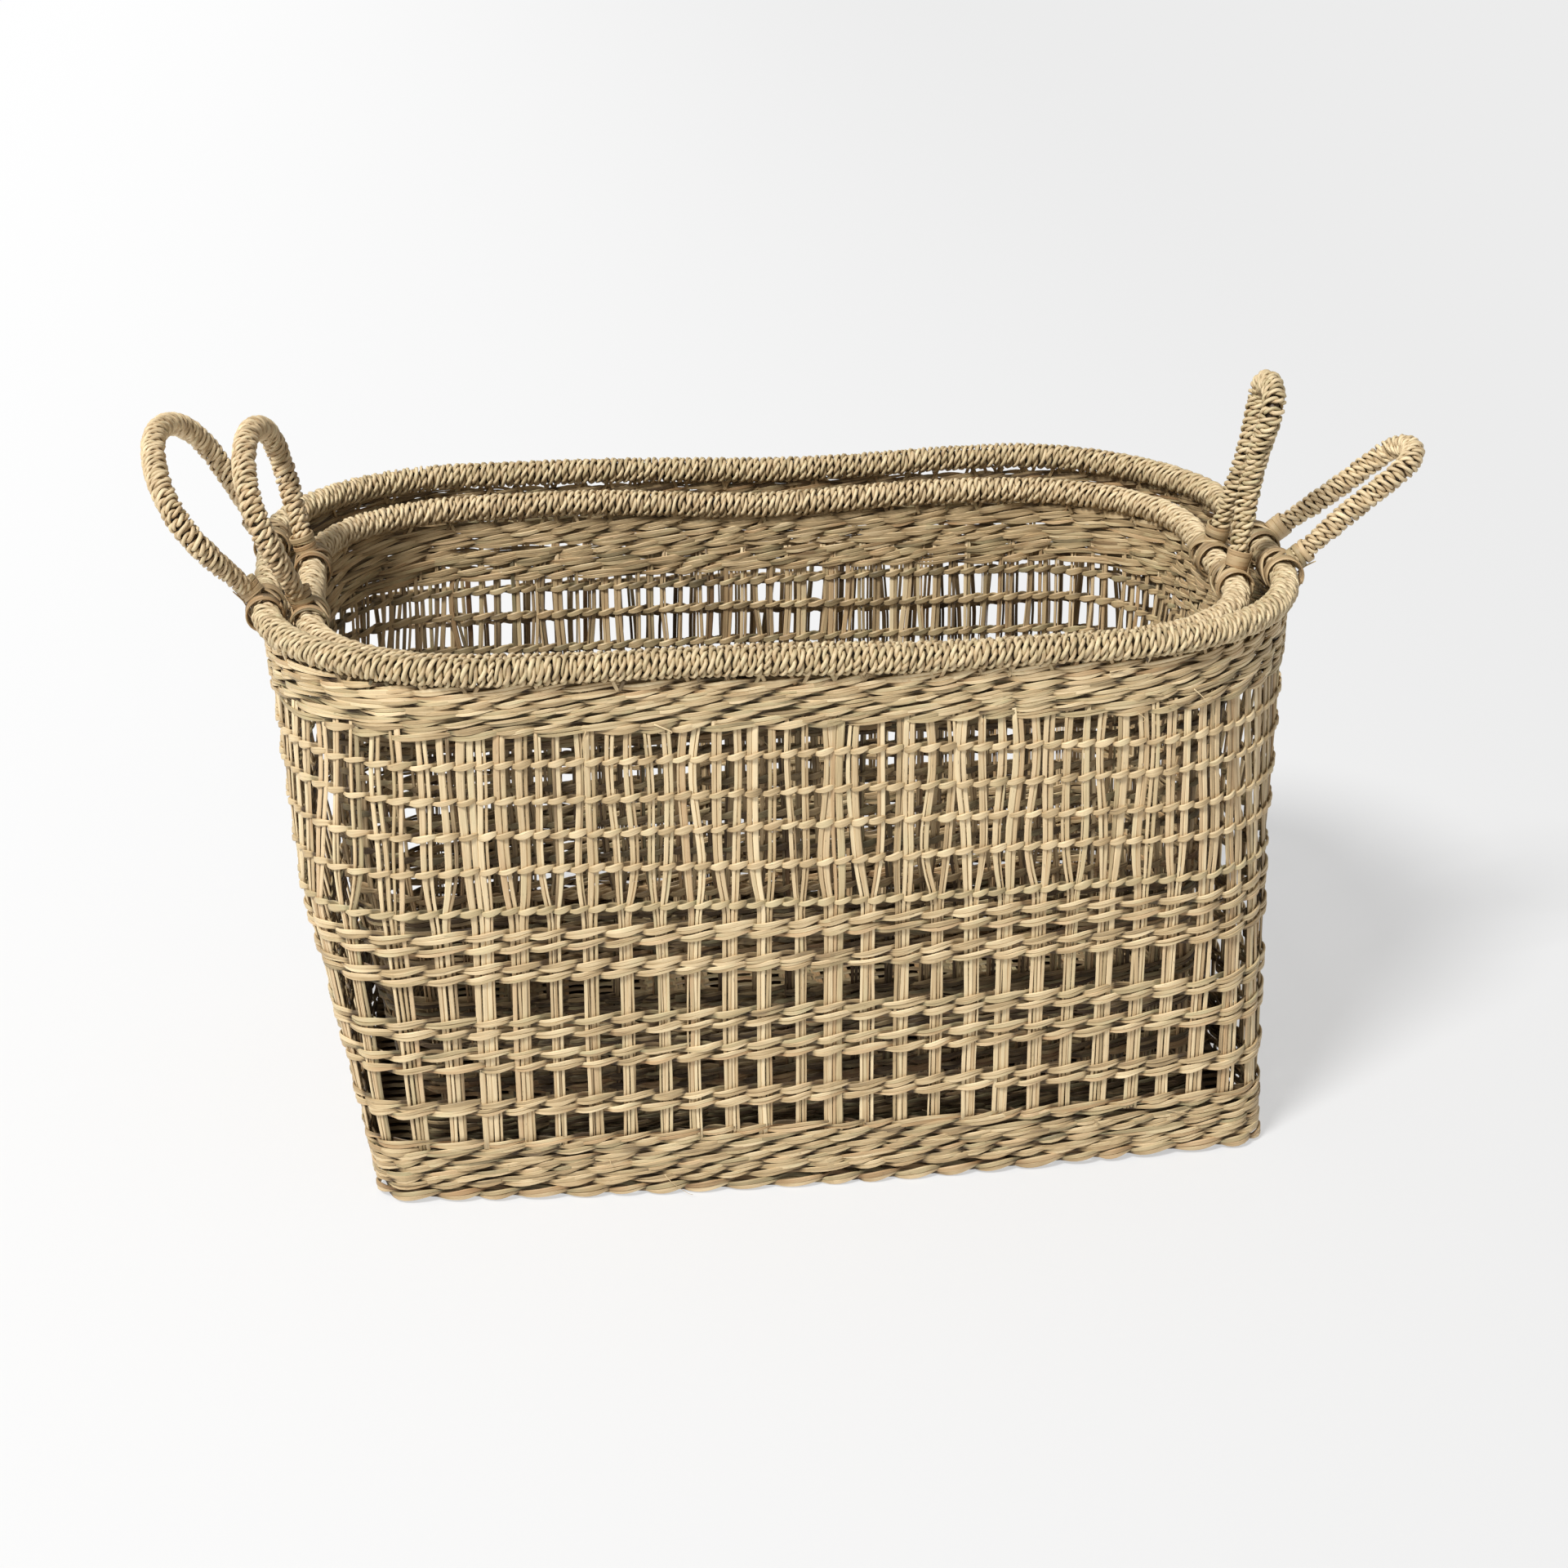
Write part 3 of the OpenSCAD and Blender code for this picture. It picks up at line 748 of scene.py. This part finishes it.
def band(basket, kind, courses, low, top, seed, stations, painted_light_shift=0.0):
    node = f"{basket.name}_{kind}_band"
    pitch = (top - low) / courses
    count = longer_floats(basket)
    weave = Weave(basket.seed * 100 + seed)
    for course in range(courses):
        z = low + (course + 0.5) * pitch
        phase = weave.random.uniform(0, 1)
        twine(weave, basket, z, count, swing=0.0021, lift=0.0012, blades=2, width=pitch * 1.12,
              thick=0.0012, phase=phase, drift=0.9, stations=stations, tip=0.42, dive_shade=0.22,
              painted_light_shift=painted_light_shift)
    stray_fibres(weave, basket, low, top)
    weave.piece(node + "_twine", STRAW["twine"], basket.body, [node])


# %% Weave every row and band
ROWS = 5
for basket in (LARGE, SMALL):
    for number in range(1, ROWS + 1):
        single_row(basket, number)
        paired_row(basket, number)
    low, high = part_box(basket.name + "_lower_band")
    # painted_light_shift: the lower bands are painted a little darker, and the small basket's upper band, lit
    # from above inside the pair, is painted lighter.
    band(basket, "lower", 8, low.z, high.z, 41, stations=6, painted_light_shift=-0.05)
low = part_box("outer_upper_band")[0].z
band(LARGE, "upper", 8, low, LARGE.rim_middle.z - LARGE.rim_radius, 42, stations=7)
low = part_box("inner_upper_band")[0].z - SMALL_BAND_DROP
top = SMALL.rim_middle.z - SMALL.rim_radius
band(SMALL, "upper", 9, low, top, 42, stations=7, painted_light_shift=0.12)

# %% [markdown]
# ## Stakes
# Four flat blades stand side by side in each group. At the split row two of them lean left
# and two lean right, so twice as many thinner stakes carry on to the upper band. They could
# be bars with a grooved bump, but light falls between the blades, so each blade is one
# strand from the foot to the upper band, with its own small drift.

# %% Stakes
BLADES = 4
BLADE_WIDTH = 0.0025
BLADE_THICK = 0.0013
BLADE_STATIONS = 30
BLADE_MIX = 0.30
PACKED = 0.80
SPREAD = 1.04
SLIM = 0.82
STAKE_LEAN = 0.0012
STAKE_BULGE = 0.0009
SPLIT_RUN = 0.034
WALLS = {"front": (0.875, 1.125), "right": (0.125, 0.375), "back": (0.375, 0.625), "left": (0.625, 0.875)}


def stakes(basket, wall):
    node = f"{basket.name}_{wall}_stakes"
    weave = Weave(basket.seed * 100 + 50 + list(WALLS).index(wall))
    random = weave.random
    start, end = (round(share * basket.stakes) for share in WALLS[wall])
    groups = np.arange(start, end)
    rows = len(groups)
    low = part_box(f"{basket.name}_lower_band")[1].z - 0.006
    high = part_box(f"{basket.name}_upper_band")[0].z + 0.005
    z = np.linspace(low, high, BLADE_STATIONS)
    width = BLADE_WIDTH * random.normal(1.0, BLADE_MIX, (rows, BLADES)).clip(0.4, 1.8)
    if basket is SMALL or wall == "back":
        width = width * SLIM
    edge = np.cumsum(width, axis=1) - width / 2
    together = edge - width.sum(1, keepdims=True) / 2
    pair = width.reshape(rows, 2, 2)
    apart = np.cumsum(pair, axis=2) - pair / 2 - pair.sum(2, keepdims=True) / 2
    apart = apart.reshape(rows, BLADES)
    part = np.clip((z - basket.split + 0.002) / SPLIT_RUN, 0, 1)
    part = 1 - (1 - part) ** 1.5
    climb = np.clip((z - basket.split) / (high - basket.split), 0, 1)
    lean = np.repeat(random.normal(0, STAKE_LEAN, (rows, 2)), 2, axis=1)[..., None]
    bulge = np.repeat(random.normal(0, STAKE_BULGE, (rows, 2)), 2, axis=1)[..., None]
    lean = lean * np.sin(climb * math.pi * 0.75) + bulge * np.sin(climb * math.pi * 2)
    low_lean = random.normal(0, 0.0008, (rows, 1, 1)) * np.sin(math.pi * (1 - climb) * z / basket.split)
    size = PACKED + (SPREAD - PACKED) * part
    shift = (together[..., None] * (1 - part) + apart[..., None] * part) * size + lean + low_lean
    loose = wander(random, rows * BLADES, BLADE_STATIONS, 8, 0.00022)
    shift = shift + loose.reshape(rows, BLADES, -1)
    side = np.array([-1.0, -1.0, 1.0, 1.0])[None, :, None]
    turn = (groups[:, None, None] + side * 0.25 * part) / basket.stakes + shift / basket.around
    turn = turn.reshape(-1, BLADE_STATIONS)
    out = wander(random, rows * BLADES, BLADE_STATIONS, 7, 0.00035)
    path, normal = basket.wall(turn, np.broadcast_to(z, turn.shape), out)
    ripple = (1 + wander(random, rows * BLADES, BLADE_STATIONS, 6, 0.07)) * size
    # Painted shade: stakes are darker low down and on the small basket's outside, and each face takes its
    # side's painted shade through back.
    lit = 0.70 - basket.shade(z) - basket.outer_painted_shade
    weave.add(path, normal, width.reshape(-1, 1) * ripple * 0.93, BLADE_THICK, tone=lit, spread=0.18,
              back=basket.inner_painted_shade - basket.outer_painted_shade)
    weave.piece(node + "_blades", STRAW["stake"], basket.body, [node])


for basket in (LARGE, SMALL):
    for wall in WALLS:
        stakes(basket, wall)

# %% [markdown]
# ## Foot and mat
# The foot is the same twining, done with thick bundles, so it reads as a coarse braid. The
# mat is plain weave: strips along the length go over and under groups laid across. Strips
# under it close the gaps, as the second layer of a real mat does, and they are painted near
# black as painted shade in the gaps. A flat plate with a woven bump would do from far off,
# but the mat is seen from above, from close by.

# %% Foot braid
FOOT_COURSE = 0.0045
FOOT_PAIRS_PER_STAKE = 0.41


def foot_braid(basket):
    node = basket.name + "_foot_braid"
    weave = Weave(basket.seed * 100 + 61)
    z = basket.floor + FOOT_COURSE
    count = 2 * round(FOOT_PAIRS_PER_STAKE * basket.stakes)
    twine(weave, basket, z, count, swing=0.0028, lift=0.0012, blades=2, width=0.0056, thick=0.0018,
          drift=0.5, tip=0.36, dive_shade=0.38)
    weave.piece(node + "_twine", STRAW["foot"], basket.body, [node])


# %% Base mat
MAT_PITCH = 0.0043
MAT_GROUPS = 25
MAT_SWING = 0.0013
MAT_STRIP = 0.0043
MAT_STAKE = 0.0029
MAT_THICK = 0.0012
MAT_LEVEL = 0.0042
UP = (0.0, 0.0, 1.0)


def base_mat(basket):
    node = basket.name + "_base_mat"
    low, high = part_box(node)
    weave = Weave(basket.seed * 100 + 62)
    centre = (low + high) / 2
    half_x = (high.x - low.x) / 2
    half_y = (high.y - low.y) / 2
    level = low.z + MAT_LEVEL

    def spread(u, v, z):
        """Carry the mat's shares of half its length and width out to the bowed foot."""
        u, v, z = np.broadcast_arrays(u, v, z)
        corner = 1 - 0.02 * (u * v) ** 8
        x = u * (half_x + 0.5 * FOOT_BOW * (1 - v ** 2)) * corner
        y = v * (half_y + FOOT_BOW * (1 - u ** 2)) * corner
        return basket.turn_foot(np.stack([centre.x + x, centre.y + y, z], -1), 0.0)

    rows = int(2 * half_y / MAT_PITCH)
    stations = MAT_GROUPS * 4 + 1
    u = np.linspace(-1, 1, stations)[None]
    v = ((np.arange(rows) + 0.5) / rows * 2 - 1)[:, None]
    phase = math.pi * (np.arange(rows) % 2)[:, None]
    z = level + MAT_SWING * np.cos(math.pi * MAT_GROUPS * u / 2 + phase)
    v = v + wander(weave.random, rows, stations, 14, 0.0004) / half_y * (1 - u ** 4)
    # Painted shade: the small basket's mat is darker.
    lit = 0.5 - 0.7 * basket.low_painted_shade
    weave.add(spread(u, v, z), UP, MAT_STRIP, MAT_THICK, tone=lit, spread=0.16)
    under = np.linspace(-1, 1, 16)[None]
    v_under = ((np.arange(rows - 1) + 1.0) / rows * 2 - 1)[:, None]
    # Painted shade: the under strips are near black.
    weave.add(spread(under, v_under, level - 0.0026), UP, 0.0050, 0.0010, tone=0.1, spread=0.1)
    groups = (np.arange(MAT_GROUPS - 1) + 1) / MAT_GROUPS * 2 - 1
    offsets = (np.arange(3) - 1) * MAT_STAKE / half_x
    u = (groups[:, None] + offsets).reshape(-1, 1)
    v = np.linspace(-1, 1, 30)[None]
    u = u + wander(weave.random, len(u), 30, 8, 0.0004) / half_x
    weave.add(spread(u, v, level), UP, MAT_STAKE, MAT_THICK, tone=lit, spread=0.16)
    weave.piece(node + "_weave", STRAW["mat"], basket.body, [node])


for basket in (LARGE, SMALL):
    foot_braid(basket)
    base_mat(basket)

# %% [markdown]
# ## Bound rim
# Two-ply cord is two strands twisted together. It is wound round the rim wire in close
# turns, so its centre is a helix, and each ply is a second, finer helix round the first. Each
# ply is painted lighter where it lies outermost and darker where it turns in, as painted shade
# between the plies. A dark filling under the cord is painted shade where two turns part. A
# twisted bump on a tube would look right in front but flat along its edge, where the rim is mostly seen.

# %% Winding two-ply cord
CORD_PITCH = 0.0041
PLY_RADIUS = 0.00095
PLY_WIDTH = 0.0023
PLY_THICK = 0.0020
LAY_LENGTH = 0.0185
TURN_STATIONS = 24
FILL_DEPTH = 0.0034
FILL_SHADE_TONE = -0.1


def wind(weave, line, length, radius, closed):
    """line(share) gives centres, two cross directions and the tangent along a tube."""
    random = weave.random
    turns = round(length / CORD_PITCH)
    stations = turns * TURN_STATIONS
    share = np.arange(stations) / stations if closed else np.linspace(0, 1, stations)
    centre, first, second, tangent = line(share)
    size = radius(share)[:, None]
    lays = round(turns * 2 * math.pi * size.max() / LAY_LENGTH)
    swell = wander_round(random, 1, stations, turns // 3, 0.10)
    angle = (2 * math.pi * turns * share + swell[0])[:, None]
    radial = first * np.cos(angle) + second * np.sin(angle)
    middle_line = centre + radial * (size - PLY_RADIUS - PLY_THICK / 2)
    stray = wander_round(random, 1, stations, 2 * turns, 0.9)[0]
    for ply in (0, 1):
        twist = (2 * math.pi * lays * share + stray + math.pi * ply)[:, None]
        path = middle_line + PLY_RADIUS * (radial * np.cos(twist) + 1.2 * tangent * np.sin(twist))
        path = path + tangent * wander_round(random, 1, stations, 3 * turns, 0.00028).T
        width = PLY_WIDTH * (1 + wander_round(random, 1, stations, 2 * turns, 0.14))
        # Painted shade and highlight: each ply is lighter where it lies outermost and darker where it turns
        # in.
        tone = 0.62 + 0.24 * np.cos(twist).T + wander_round(random, 1, stations, 2 * turns, 0.14)
        weave.add(path, radial, width, PLY_THICK, closed=closed, tone=tone, spread=0.0, sides=5)
    # The dark filling is painted shade where two turns of cord part.
    coarse = np.arange(0, stations, TURN_STATIONS // 2)
    core = 2 * (size[coarse, 0] - FILL_DEPTH)
    weave.add(centre[coarse], first[coarse], core, core, closed=closed, tone=FILL_SHADE_TONE, spread=0.0, sides=5)


# %% The rim's line and its cord


def rim_height(basket, turn):
    """A hand-made rim is never quite level; it runs true only where the handles turn on it."""
    along = np.cos(2 * math.pi * turn) ** 2
    wave = 0.0012 * np.sin(2 * math.pi * 3 * turn + basket.seed)
    wave = wave + 0.0011 * np.sin(2 * math.pi * 7 * turn + 2.0 * basket.seed)
    front = (1 + np.cos(2 * math.pi * turn)) / 2
    wave = wave + 0.0015 * front - 0.0028 * np.cos(8 * math.pi * turn) * (1 - front)
    return basket.rim_middle.z + along * wave


def rim_binding(basket):
    node = basket.name + "_rim_binding"
    weave = Weave(basket.seed * 100 + 71)

    def line(share):
        place, normal = basket.wall(share, np.full(share.shape, basket.rim_middle.z), even=True)
        place[:, 2] = rim_height(basket, share)
        up = np.broadcast_to(UP, normal.shape)
        return place, normal, up, np.cross(up, normal)

    half_x, half_y = basket.rim_half
    length = 4 * (half_x + half_y) - (8 - 2 * math.pi) * basket.rim_bend
    wind(weave, line, length, lambda share: np.full(share.shape, basket.rim_radius), True)
    weave.piece(node + "_cord", STRAW["cord"], basket.body, [node], False)


for basket in (LARGE, SMALL):
    rim_binding(basket)

# %% [markdown]
# ## Handles
# Each handle is a loop of wound rope with both feet tied to the rim. It swings about the
# rim's middle line, so it is made in the plane that leans outward from that line. A drawn
# curve could give the loop, but sines of one angle give its belly, its pinch and its twist
# as single numbers, and the same cord is wound on it as on the rim.

# %% Handle loops
FOOT_REACH = 0.0092
LOOP_POWER = 0.8
LOOP_RADIUS = 0.0068
FOOT_TAPER = 0.74


class Handle:
    def __init__(self, basket, side, lean, centre, half_span, bulge, height, twist, pinch):
        self.basket = basket
        self.side = side
        self.body = f"{basket.name}_{'left' if side < 0 else 'right'}_handle"
        self.centre = centre
        self.half_span = half_span
        self.bulge = bulge
        self.height = height
        self.twist = twist
        self.pinch = pinch
        lean = math.radians(lean)
        self.up = np.array([side * math.sin(lean), 0.0, math.cos(lean)])
        self.off = np.array([side * math.cos(lean), 0.0, -math.sin(lean)])
        middle_x = basket.rim_middle.x + side * basket.rim_half[0]
        self.axis = np.array([middle_x, 0.0, basket.rim_middle.z])

    def curve(self, angle):
        u = self.centre - self.half_span * np.cos(angle) - self.bulge * np.sin(2 * angle)
        u = u - self.pinch * np.sin(4 * angle)
        v = FOOT_REACH + (self.height - FOOT_REACH) * np.clip(np.sin(angle), 0, 1) ** LOOP_POWER
        w = self.twist * np.sin(2 * angle)
        place = self.axis + v[:, None] * self.up + w[:, None] * self.off
        place[:, 1] += u
        return place

    def line(self, share):
        fine = self.curve(math.pi * (0.5 - 0.5 * np.cos(np.linspace(0, math.pi, 400))))
        travelled = np.linalg.norm(np.diff(fine, axis=0), axis=1).cumsum()
        travelled = np.concatenate([[0], travelled])
        self.length = travelled[-1]
        place = np.stack([np.interp(share * self.length, travelled, fine[:, k]) for k in range(3)], -1)
        slope = np.gradient(fine, axis=0)
        tangent = np.stack([np.interp(share * self.length, travelled, slope[:, k]) for k in range(3)], -1)
        tangent = unit(tangent)
        first = unit(self.off - tangent * (tangent @ self.off)[:, None])
        return place, first, np.cross(tangent, first), tangent

    def radius(self, share):
        ends = np.minimum(share, 1 - share)
        return LOOP_RADIUS * (FOOT_TAPER + (1 - FOOT_TAPER) * np.minimum(1, 7 * ends))


# Lean in degrees, then centre, half span, bulge, height, twist and pinch in metres.
HANDLES = [
    Handle(LARGE, -1, 35, -0.001, 0.057, 0.027, 0.097, 0.002, 0.004),
    Handle(LARGE, 1, 52, -0.033, 0.024, 0.005, 0.097, -0.002, -0.004),
    Handle(SMALL, -1, 18, -0.016, 0.046, 0.022, 0.093, 0.004, 0.002),
    Handle(SMALL, 1, 12, -0.034, 0.024, 0.004, 0.107, -0.003, -0.008),
]


def handle_binding(handle, number):
    weave = Weave(700 + number)
    handle.line(np.array([0.0, 1.0]))
    wind(weave, handle.line, handle.length, handle.radius, False)
    node = handle.body + "_binding"
    weave.piece(node + "_cord", STRAW["cord"], handle.body, [node], False)


for number, handle in enumerate(HANDLES):
    handle_binding(handle, number)
    print(handle.body, "loop length", round(handle.length, 4))

# %% [markdown]
# ## Lashings and ties
# Flat strips go round the rim on both sides of each handle foot, cross over it, and end in a
# collar round the foot. Rings, half rings and collar are separate strips here, which looks
# the same as one long strip and is easier to place. They turn with the handle.

# %% Handle lashings
STRIP_WIDTH = 0.0040
STRIP_THICK = 0.0012
RIM_CLEAR = 0.0005
RING_PLACES = (-0.0098, -0.0070, -0.0046, 0.0046, 0.0070, 0.0098)
COLLAR_LEVELS = (0.0012, 0.0036, 0.0060, 0.0085)


def lashing(handle, number):
    weave = Weave(750 + number)
    random = weave.random
    reach = handle.basket.rim_radius + RIM_CLEAR + STRIP_THICK / 2
    angle = np.linspace(0, 2 * math.pi, 40)
    part = angle / angle[-1]
    across = np.array([0.0, 1.0, 0.0])
    for end in (-1, 1):
        foot = handle.centre + end * handle.half_span
        for offset in RING_PLACES:
            start = random.uniform(0, 2 * math.pi)
            turn = start + angle * 1.04
            around = np.cos(turn)[:, None] * handle.up + np.sin(turn)[:, None] * handle.off
            lift = random.uniform(0, 0.0007) + 0.0007 * part
            path = handle.axis + around * (reach + lift[:, None])
            path[:, 1] += foot + offset + random.normal(0, 0.0012) * np.sin(turn + start)
            weave.add(path, around, STRIP_WIDTH * random.uniform(0.6, 1.1), STRIP_THICK, tone=0.55)
        for side in (-1, 1):
            turn = math.pi * (0.5 + side * 0.5 * part)
            around = np.cos(turn)[:, None] * handle.up + np.sin(turn)[:, None] * handle.off
            path = handle.axis - around * (reach + 0.0012)
            path[:, 1] += foot + side * end * 0.0055 * np.cos(math.pi * part)
            weave.add(path, around, STRIP_WIDTH * 0.7, STRIP_THICK, tone=0.6)
        place = handle.curve(np.array([0.0 if end < 0 else math.pi]))[0]
        for level in COLLAR_LEVELS:
            size = LOOP_RADIUS * FOOT_TAPER + 0.0006 + 0.06 * level + random.uniform(0, 0.0004)
            around = np.cos(angle)[:, None] * across + np.sin(angle)[:, None] * handle.off
            path = place + around * size + handle.up * level
            tilt = random.normal(0, 0.0009)
            path = path + handle.up * tilt * np.sin(angle + level * 900)[:, None]
            weave.add(path, around, STRIP_WIDTH * random.uniform(0.6, 0.9), STRIP_THICK, tone=0.6)
        loose = np.linspace(0, 1, 10)[:, None]
        for tail in (-1, 1):
            path = place + handle.off * (0.0058 + 0.0012 * loose) + handle.up * (0.002 + tail * 0.007 * loose)
            path = path + across * (end * 0.003 + random.normal(0, 0.004) * loose ** 2)
            weave.add(path, handle.off, 0.0016 * (1.2 - loose[:, 0]), 0.0007, tone=0.7)
    node = handle.body + "_lashing"
    weave.piece(node + "_strips", STRAW["strip"], handle.body, [node])


for number, handle in enumerate(HANDLES):
    lashing(handle, number)

# %% [markdown]
# ## Rim ties
# The upper band hangs from the rim on short crossed strips, inside and outside, that just
# show under the cord. They are left out where the lashings turn.

# %% Rim ties
TIE_LENGTH = 0.006
TIE_WIDTH = 0.0020
TIE_THICK = 0.0009
LASHING_ROOM = 0.018
END_DEPTH = 0.05


def clear_of_lashings(basket, place):
    """Which ties keep out of the way of the lashings that turn with the handles."""
    clear = np.ones(len(place), bool)
    for handle in HANDLES:
        if handle.basket is basket:
            along = handle.side * (place[:, 0] - basket.rim_middle.x)
            at_end = along > basket.rim_half[0] - END_DEPTH
            for foot in (-1, 1):
                gap = np.abs(place[:, 1] - handle.centre - foot * handle.half_span)
                clear &= ~(at_end & (gap < LASHING_ROOM))
    return clear


def rim_ties(basket):
    node = basket.name + "_rim_ties"
    weave = Weave(basket.seed * 100 + 81)
    random = weave.random
    climb = np.linspace(0, 1, 9)[None]
    for side in (-1, 1):
        for cross in (-1, 1):
            count = basket.stakes
            group = np.arange(count)[:, None] + random.normal(0, 0.15, (count, 1))
            lean = cross * 0.0030 * (climb - 0.5) + random.normal(0, 0.0008, (count, 1))
            turn = group / count + lean / (4 * sum(basket.rim_half))
            top = rim_height(basket, turn) - basket.rim_radius * 0.85
            z = top - TIE_LENGTH * (1 - climb)
            out = side * (0.0006 + 0.0014 * climb)
            path, normal = basket.wall(turn, z, np.broadcast_to(out, z.shape))
            kept = clear_of_lashings(basket, path[:, 0])
            weave.add(path[kept], normal[kept] * side, TIE_WIDTH, TIE_THICK, tone=0.45, spread=0.15)
    weave.piece(node + "_strips", STRAW["twine"], basket.body, [node])


for basket in (LARGE, SMALL):
    rim_ties(basket)

# %% [markdown]
# ## Parts kept from the frame
# The wire and the core ropes are hidden under the cord. Their packed shapes are right, so
# they only take a finish.

# %% Finish the kept parts
KEPT = {"_wire": WIRE, "_core": STRAW["mat"]}
for name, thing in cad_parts.items():
    for ending, material in KEPT.items():
        if name.endswith(ending):
            thing.data.materials.clear()
            thing.data.materials.append(material)
            print(name, "takes", material.name)

# %% [markdown] The weave may stand a little proud of the packed parts.
# The weave may stand a little proud of the packed parts but no more.
